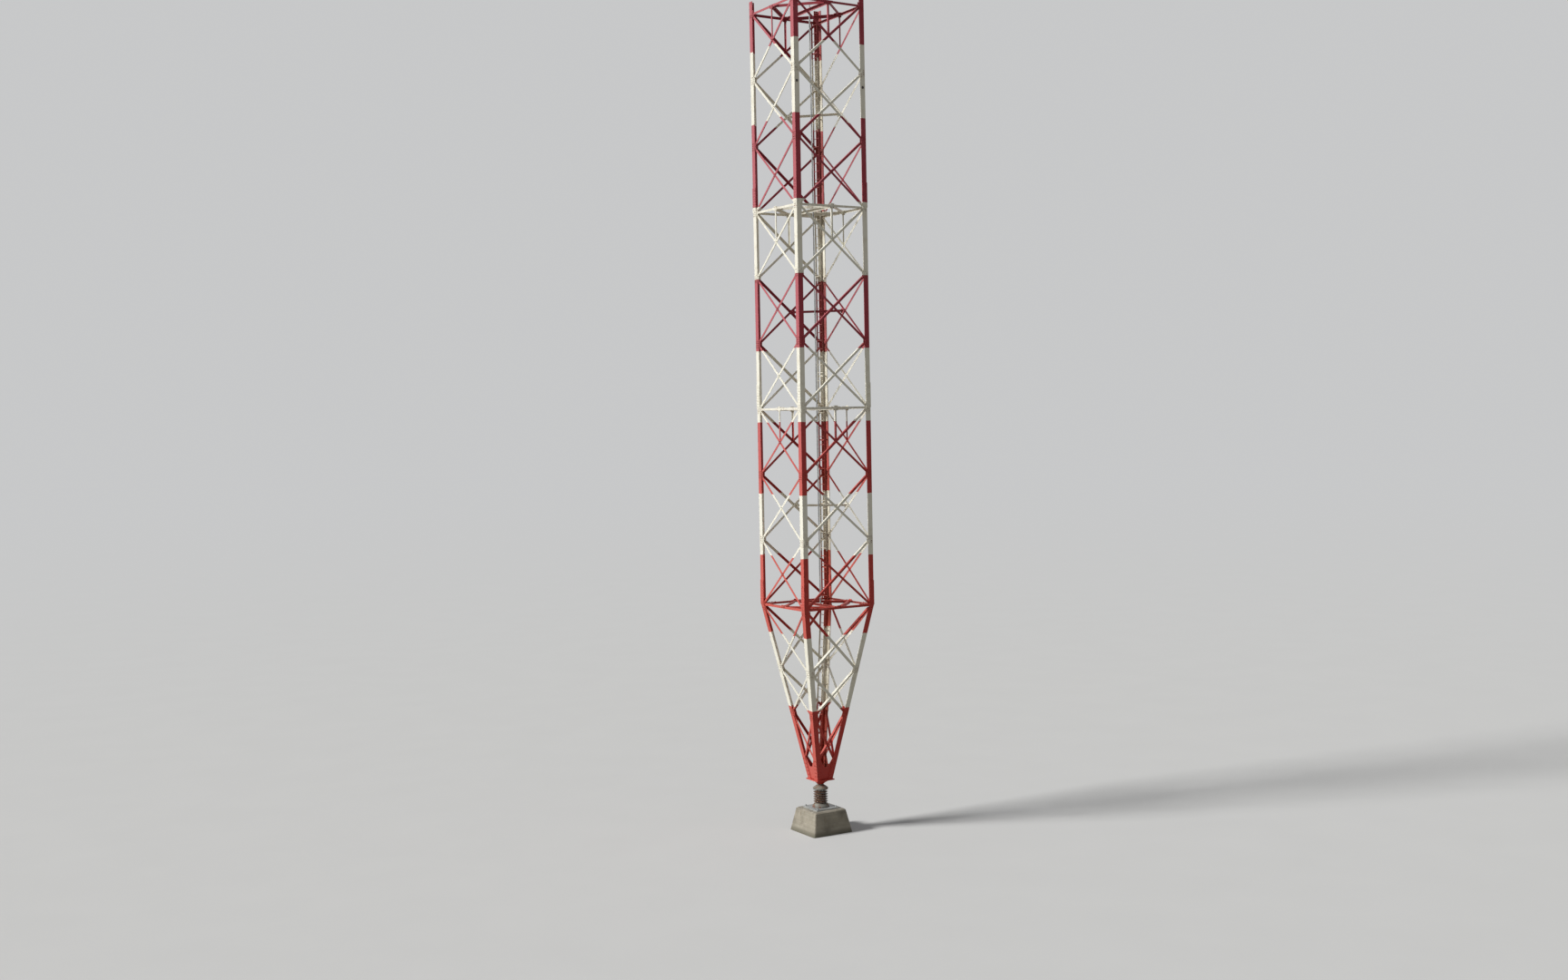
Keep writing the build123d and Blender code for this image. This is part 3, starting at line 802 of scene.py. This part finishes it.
@dataclass
class JointBolts:
    """Bolts and nuts at the gussets, crossings and closing plates, and bolts on the ring frames' plates."""

    across: float = 0.032
    tall: float = 0.016
    nut_shares: tuple[float, float] = (0.94, 1.1)
    gauge: float = 0.045
    brace_ends: tuple[float, ...] = (0.172,)
    foot_brace_ends: tuple[float, ...] = (0.125, 0.168)
    crossing_arm: float = 0.042
    panel_rows: tuple[float, ...] = (-0.115, -0.04, 0.04, 0.115)
    ring_rows: tuple[float, ...] = (-0.115, -0.055)
    bend_rows: tuple[float, ...] = (-0.05, -0.115)
    closing_plate_rows: tuple[float, ...] = (0.14, 0.28, 0.42, 0.56, 0.74)
    middle_plate_arm: float = 0.06
    shelf: float = 0.05
    shelf_spots: tuple[tuple[float, float], ...] = (
        (-0.15, -1.425), (0.0, -1.425), (0.15, -1.425), (-0.09, -1.33), (0.09, -1.33), (-0.13, -1.37),
        (0.13, -1.37))
    corner_start: float = -1.43
    corner_steps: tuple[float, ...] = (0.08, 0.22, 0.36, 0.5)
    plated_corners: tuple[int, ...] = (0, 1, 3)
    work: BoltWork | None = None

    def panel(self, low: float, high: float, side: Side) -> None:
        """Bolts at the four ends and the crossing of one panel's diagonals.

        Worked out on the diagonal that rises to the right, whose ends the other one mirrors.

        Args:
            low, high: the heights of the panel's lower and upper points.
            side: the side it is on.
        """
        across_low, across_high = side.half(low) - LEG_FLANGE / 2, side.half(high) - LEG_FLANGE / 2
        crossing = low + (high - low) * across_low / (across_low + across_high)
        start, end = side.points((-across_low, across_high), (low, high))
        along = (end - start) / np.linalg.norm(end - start)
        steps = np.array(self.foot_brace_ends if side.leaning else self.brace_ends)[:, None]
        middle, arm = side.points(0.0, crossing), along * self.crossing_arm
        spots = np.concatenate((start + along * steps, end - along * steps, [middle + arm, middle - arm]))
        spots = np.concatenate((spots, spots * (-1.0, 1.0, 1.0)))
        depth = side.flange_depth
        self.work.add(spots + side.inward * depth, -side.inward)
        nuts = spots + side.inward * (depth + GUSSET_WALL + BRACE_WALL)
        self.work.add(nuts, side.inward, self.nut_shares)

    def flange_rows(self, middle: float, rises: Sequence[float], side: Side) -> None:
        """Pairs of bolts through the leg's flange, on both edges of every side.

        Args:
            middle: the height they are measured from.
            rises: how far over it each pair is.
            side: the side they are on.
        """
        height = middle + np.repeat(rises, 4)
        inset = np.tile((LEG_FLANGE / 2 - self.gauge, LEG_FLANGE / 2 + self.gauge), 2 * len(rises))
        hand = np.tile((-1.0, -1.0, 1.0, 1.0), len(rises))
        spots = side.points(hand * (side.half(height) - inset), height)
        nuts = spots + side.inward * (side.flange_depth + GUSSET_WALL)
        self.work.add(spots, -side.inward)
        self.work.add(nuts, side.inward)

    def build(self) -> Pieces:
        """Go up the mast joint by joint.

        Returns:
            The piece, in a list.
        """
        self.work = BoltWork("joint_bolts", BOLT_PAINT, self.across, self.tall)
        upright, leaning = Side(), Side(leaning=True)
        for ring in RINGS[:-1]:
            for i in range(PANELS_PER_BAY):
                self.panel(ring + PANEL * i, ring + PANEL * (i + 1), upright)
            for i in range(1, PANELS_PER_BAY):
                self.flange_rows(ring + PANEL * i, self.panel_rows, upright)
        for ring in RINGS[1:]:
            self.flange_rows(ring, self.ring_rows, upright)
        for top, low in zip(FOOT_MARKS, FOOT_MARKS[1:]):
            self.panel(low, top, leaning)
        for mark in FOOT_MARKS[1:3]:
            self.flange_rows(mark, self.panel_rows, leaning)
        self.flange_rows(FOOT_MARKS[0], self.bend_rows, leaning)
        self.flange_rows(FOOT_PLATE_TOP, self.closing_plate_rows, leaning)
        self.ring_bolts()
        return self.work.build()

    def ring_bolts(self) -> None:
        """Bolts on the plates of the ring frames: upright ones at the sides' middles and flat ones."""
        side, arm = Side(), self.middle_plate_arm
        for level, ring in enumerate(RINGS):
            rises = (0.0 if level == 0 else -arm, 0.0 if level == BAYS else arm)
            across, rise = np.meshgrid((-arm, arm), rises)
            spots = side.points(across.ravel(), ring + rise.ravel(), LEG_WALL)
            self.work.add(spots, -side.inward)
            flat = [(x, y, ring + self.shelf) for x, y in self.shelf_spots]
            self.work.add(flat, UP)
        start, seat = self.corner_start, RING_1 + self.shelf
        corner = np.array([(start, start + step, seat) for step in self.corner_steps]
                          + [(start + step, start, seat) for step in self.corner_steps[1:]])
        for turn in self.plated_corners:
            self.work.add(quarter_turns(corner)[turn], UP, all_sides=False)


@dataclass
class SpliceBolts:
    """Flat hexagon bolts on the cover angles over the leg joints."""

    across: float = 0.034
    tall: float = 0.0115
    cover_wall: float = 0.012
    low: float = 0.01
    length: float = 0.9
    end_gap: float = 0.105
    gauge: float = 0.045
    rows: int = 8

    def build(self) -> Pieces:
        """Two lines of bolts on each flange of every cover.

        Returns:
            The piece, in a list.
        """
        work = BoltWork("splice_bolts", BOLT_PAINT, self.across, self.tall, washer=False)
        rise = np.linspace(self.low + self.end_gap, self.low + self.length - self.end_gap, self.rows)
        for ring in RINGS[:-1]:
            for hand in (-1.0, 1.0):
                for gauge in (-self.gauge, self.gauge):
                    across = hand * (SHAFT_HALF - LEG_FLANGE / 2 + gauge)
                    spots = Side().points(across, ring + rise, -self.cover_wall)
                    work.add(spots, -Side().inward)
        return work.build()


@dataclass
class Plinth:
    """Concrete block, as a profile of half width and height carried round a square with worn corners.

    Each point of the square is found by raising the cosine and sine of an angle to a small power, so
    the square's corners are rounded a little. Shallow dents, a sum of products of sines of the place,
    only ever take away from it, and take most along the top edge.
    """

    bottom: float = 0.85
    top: float = 0.675
    height: float = 0.85
    chamfer: float = 0.04
    columns: int = 400
    rows: int = 70
    bevel_rows: int = 7
    lid_rows: int = 14
    corner_power: float = 0.09
    least_half: float = 0.2
    dent: float = 0.0016
    edge_calm: float = 0.35
    edge_dent: float = 0.006
    edge_reach: float = 0.03
    waves: tuple[Place, ...] = ((9, 7, 11), (17, 23, 19), (41, 37, 31), (71, 83, 67))
    phases: Place = (1.3, 2.1, 0.7)

    def outline(self) -> Array:
        """The profile from the middle of the underside, up the side, to the middle of the top.

        Returns:
            Half width and height, one pair to a row.
        """
        under = np.array(((0.0, 0.0), (self.bottom * 0.5, 0.0)))
        rise = np.linspace(0.0, self.height - self.chamfer, self.rows)
        slope = (self.bottom - self.top) / self.height
        side = np.stack((self.bottom - slope * rise, rise), axis=-1)
        crown = np.array((self.top - self.chamfer, self.height))
        bevel = side[-1] + (crown - side[-1]) * np.linspace(0.0, 1.0, self.bevel_rows)[1:, None]
        inwards = np.linspace(1.0, 0.0, self.lid_rows)[1:, None]
        lid = np.concatenate((crown[:1] * inwards, np.full_like(inwards, self.height)), axis=1)
        return np.concatenate((under, side, bevel, lid))

    def worn(self, grid: Array) -> Array:
        """How far the surface is worn back.

        Args:
            grid: the points of the block.

        Returns:
            A depth for each point.
        """
        dents = 0.0
        for k, wave in enumerate(self.waves):
            dents = dents + np.prod(np.sin(grid * wave + np.array(self.phases) * k), axis=-1)
        edge = np.exp(-((grid[..., 2] - self.height + self.chamfer) / self.edge_reach) ** 2)
        chipped = np.clip(dents - self.edge_calm, 0.0, 1.0)
        return self.dent * (1.0 + np.tanh(dents)) + self.edge_dent * edge * chipped

    def build(self) -> Pieces:
        """Carry the outline round the square and wear it.

        Returns:
            The piece, which takes the plain plinth's place, in a list.
        """
        profile = self.outline()
        angle = round_angles(self.columns)
        circle = np.stack((np.cos(angle), np.sin(angle)), axis=-1)
        square = np.sign(circle) * np.abs(circle) ** self.corner_power
        square /= np.abs(square).max()
        grid = np.empty((len(profile), self.columns, 3))
        grid[..., :2] = profile[:, None, :1] * square[None]
        grid[..., 2] = profile[:, None, 1]
        grid[..., :2] *= 1.0 - self.worn(grid)[..., None] / np.maximum(self.least_half, profile[:, None, :1])
        faces = skin(len(profile), self.columns)
        piece = add_piece("plinth_block", grid, faces, SLOT_FINISHES["concrete"])
        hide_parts("plinth")
        return [piece]


@dataclass
class Insulator:
    """Porcelain barrel turned from a smooth outline.

    Along the height the radius is the core's, plus a bell-shaped bulge for each shed, and the bulge
    also hangs the outline down a little, so that each shed droops like an umbrella.
    """

    bottom: float = 1.03
    height: float = 0.53
    core: float = 0.2
    shed: float = 0.27
    sheds: int = 5
    bell_width: float = 0.15
    bell_power: float = 2.2
    droop: float = 0.15
    shed_rows: int = 24
    columns: int = 96
    cement_out: float = 0.004
    cement_wide: float = 0.012
    cement_high: float = 0.008
    cement_sides: int = 16

    def outline(self) -> Array:
        """Radius and height up the barrel, closed at both ends.

        Returns:
            One pair to a row.
        """
        pitch = self.height / (self.sheds + 1)
        top = self.bottom + self.height
        phase = np.linspace(-0.5, 0.5, self.shed_rows + 1)[:-1]
        bulge = np.exp(-np.abs(phase / self.bell_width) ** self.bell_power)
        radius = self.core + (self.shed - self.core) * bulge
        rows = [np.stack((radius, self.bottom + pitch * (i + 1 + phase - self.droop * bulge)), axis=-1)
                for i in range(self.sheds)]
        return np.concatenate((((0.0, self.bottom), (self.core, self.bottom)), *rows,
                               ((self.core, top), (0.0, top))))

    def build(self) -> Pieces:
        """Turn the outline about the axis, and carry a small oval round it for each ring of cement.

        Returns:
            The barrel, which takes the plain insulator's place, and the rings between it and its caps.
        """
        profile = self.outline()
        piece = add_piece("glazed_barrel", turned_about(profile, self.columns),
                          skin(len(profile), self.columns), SLOT_FINISHES["brown_porcelain"], smooth=True)
        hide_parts("base_insulator")
        turn = round_angles(self.cement_sides)
        radius = self.core + self.cement_out + self.cement_wide * np.cos(turn)
        rise = self.cement_high * np.sin(turn)
        faces = skin(self.cement_sides + 1, self.columns)
        rings = []
        for name, height in (("cement_ring_low", self.bottom + self.cement_high),
                             ("cement_ring_high", self.bottom + self.height - self.cement_high)):
            tube = np.stack((radius, height + rise), axis=-1)
            ring = turned_about(np.concatenate((tube, tube[:1])), self.columns)
            rings.append(add_piece(name, ring, faces, SLOT_FINISHES["concrete"], smooth=True))
        return [piece] + rings


@dataclass
class BaseBolts:
    """Bolts round the rims of the two cast caps."""

    across: float = 0.036
    tall: float = 0.022
    upper_share: float = 0.9
    count: int = 12
    low_radius: float = 0.285
    low_seat: float = 0.95
    high_radius: float = 0.252
    high_seat: float = 1.56

    def build(self) -> Pieces:
        """Rings of bolts on the caps, heads up below and heads down above.

        They start half a step away from the X axis.

        Returns:
            The piece, in a list.
        """
        work = BoltWork("cap_bolts", SLOT_FINISHES["galvanised_steel"], self.across, self.tall)
        circles = np.array(((self.low_radius, self.low_seat), (self.high_radius, self.high_seat)))
        rings = turned_about(circles, self.count, np.pi / self.count)
        for ring, way, share in zip(rings, (UP, DOWN), (1.0, self.upper_share)):
            work.add(ring, way, (share, 1.0), all_sides=False)
        return work.build()


@dataclass
class FootWelds:
    """Weld beads where the four legs stand on the foot plate.

    The bead is a small circle carried along the leg's L-shaped outline, its radius rippling by the
    sine of the distance run, as a bead laid by hand does.
    """

    bead: float = 0.009
    ripple: float = 0.15
    sides: int = 8
    pitch: float = 0.012
    steps_per_pitch: int = 3

    def path(self) -> tuple[Array, Array]:
        """The outline of the front left leg, in steps of a few millimetres.

        Returns:
            Its points, one row each, and how far along the outline each one is.
        """
        near, far, wall = -FOOT_HALF, LEG_FLANGE - FOOT_HALF, LEG_WALL - FOOT_HALF
        corners = np.array(((far, near), (near, near), (near, far), (wall, far), (wall, wall), (far, wall),
                            (far, near)))
        runs = np.linalg.norm(np.diff(corners, axis=0), axis=1)
        marks = np.concatenate(((0.0,), np.cumsum(runs)))
        at = np.linspace(0.0, marks[-1], int(marks[-1] / (self.pitch / self.steps_per_pitch)))
        points = np.stack((np.interp(at, marks, corners[:, 0]), np.interp(at, marks, corners[:, 1]),
                           np.full_like(at, FOOT_PLATE_TOP)), axis=-1)
        return points, at

    def build(self) -> Pieces:
        """Carry the bead round all four legs.

        Returns:
            The piece, in a list.
        """
        path, at = self.path()
        along = np.gradient(path, axis=0)
        along /= np.linalg.norm(along, axis=1, keepdims=True)
        across = np.cross(along, UP)
        angle = round_angles(self.sides)
        ripple = 1.0 - self.ripple + self.ripple * np.sin(at * 2 * np.pi / self.pitch)
        circle = np.cos(angle)[None, :, None] * across[:, None] + np.sin(angle)[None, :, None] * np.array(UP)
        tubes = quarter_turns(path[:, None] + self.bead * ripple[:, None, None] * circle)
        faces = skin(len(path), self.sides, len(tubes), ends=True)
        return [add_piece("foot_welds", tubes, faces, SLOT_FINISHES["red_paint"], smooth=True)]


@dataclass
class LegStuds:
    """Small dark domed fittings on the front flanges of two legs, high up."""

    height: float = 27.1
    radius: float = 0.05
    deep: float = 0.022
    rows: int = 7
    columns: int = 20

    def build(self) -> Pieces:
        """Low domes: radius and depth follow a quarter circle's cosine and sine.

        Returns:
            The piece, in a list.
        """
        turn, angle = np.linspace(0.0, np.pi / 2, self.rows), round_angles(self.columns)
        radius = np.concatenate(((0.0,), self.radius * np.cos(turn)))[:, None]
        deep = np.concatenate(((0.0,), self.deep * np.sin(turn)))[:, None]
        dome = np.stack(np.broadcast_arrays(radius * np.cos(angle), -deep, radius * np.sin(angle)), axis=-1)
        across = SHAFT_HALF - LEG_FLANGE / 2
        places = np.array(((-across, -SHAFT_HALF, self.height), (across, -SHAFT_HALF, self.height)))
        faces = skin(len(radius), self.columns, len(places))
        return [add_piece("leg_studs", places[:, None, None] + dome, faces, DarkFitting(), smooth=True)]


@dataclass(frozen=True)
class Lamp:
    """A broad lamp far away: the way to it, its strength, how many degrees wide it looks, its colour."""

    name: str
    towards: Place
    strength: float
    spread: float
    tint: Place

    def build(self) -> None:
        """Hang the lamp."""
        data = bpy.data.lights.new(self.name, "SUN")
        data.energy = self.strength
        data.angle = np.radians(self.spread)
        data.color = self.tint
        lamp = hang(self.name, data)
        lamp.rotation_euler = Vector(self.towards).to_track_quat("Z", "Y").to_euler()


@dataclass
class Studio:
    """Pale floor, even soft light with a broad key from the left, and the photograph's camera."""

    place: Place = (-32.516, -50.527, 15.222)
    yaw: float = 31.68
    pitch: float = -2.464
    roll: float = -1.118
    focal: float = 1806.0
    image_width: float = 1728.0
    sensor_width: float = 36.0
    sight: float = 2000.0
    floor_reach: float = 900.0
    backdrop_colour: Colour = (0.575, 0.58, 0.585, 1.0)
    sky: float = 0.22
    lamps: tuple[Lamp, ...] = (Lamp("key", (-0.82, 0.20, 0.54), 3.45, 12.0, (1.0, 0.985, 0.95)),
                               Lamp("fill", (0.1, -0.9, 0.5), 0.04, 60.0, (0.94, 0.97, 1.0)))

    def camera(self) -> None:
        """A camera with the place and turn worked out from the photograph.

        Yaw turns the view clockwise from +Y, pitch raises it and roll turns it about itself. The
        focal length is in pixels of the photograph.
        """
        yaw, pitch, roll = np.radians((self.yaw, self.pitch, self.roll))
        ahead = np.array((np.sin(yaw) * np.cos(pitch), np.cos(yaw) * np.cos(pitch), np.sin(pitch)))
        right = np.array((np.cos(yaw), -np.sin(yaw), 0.0))
        up = np.cross(right, ahead)
        right, up = right * np.cos(roll) + up * np.sin(roll), up * np.cos(roll) - right * np.sin(roll)
        data = bpy.data.cameras.new("view")
        data.sensor_width = self.sensor_width
        data.lens = self.focal / self.image_width * self.sensor_width
        data.clip_end = self.sight
        camera = hang("view", data)
        turn = Matrix((right, up, -ahead)).transposed().to_4x4()
        camera.matrix_world = Matrix.Translation(Vector(self.place)) @ turn
        bpy.context.scene.camera = camera

    def backdrop(self) -> None:
        """An even pale world, as bright to the camera as the floor, and a soft sky to the mast."""
        world = bpy.data.worlds.new("studio")
        world.use_nodes = True
        tree = world.node_tree
        glow = tree.nodes["Background"]
        glow.inputs["Color"].default_value = WHITE
        glow.inputs["Strength"].default_value = self.sky
        seen = tree.nodes.new("ShaderNodeBackground")
        seen.inputs["Color"].default_value = self.backdrop_colour
        blend = tree.nodes.new("ShaderNodeMixShader")
        tree.links.new(seen_rays(tree), blend.inputs[0])
        tree.links.new(glow.outputs[0], blend.inputs[1])
        tree.links.new(seen.outputs[0], blend.inputs[2])
        tree.links.new(blend.outputs[0], tree.nodes["World Output"].inputs[0])
        bpy.context.scene.world = world

    def floor(self) -> None:
        """A wide pale floor at ground level."""
        reach = self.floor_reach
        mesh = bpy.data.meshes.new("studio_floor")
        mesh.from_pydata([(-reach, -reach, 0), (reach, -reach, 0), (reach, reach, 0), (-reach, reach, 0)],
                         [], [(0, 1, 2, 3)])
        mesh.materials.append(PaleFloor().build(self.backdrop_colour))
        sheet = hang("studio_floor", mesh)

    def build(self) -> None:
        """Set up the studio."""
        self.camera()
        self.backdrop()
        self.floor()
        for lamp in self.lamps:
            lamp.build()
        bpy.context.scene.view_settings.view_transform = "Standard"


def main() -> None:
    """Dress the model, add its small pieces, and set up the studio."""
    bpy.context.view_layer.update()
    log.info("dressed %d nodes", dress_nodes())
    for part in (Plinth(), Insulator(), BaseBolts(), FootWelds(), JointBolts(), SpliceBolts(), LegStuds()):
        for piece in part.build():
            log.info("%s: %d faces", piece.name, len(piece.data.polygons))
    Studio().build()


if __name__ == "__main__":
    main()
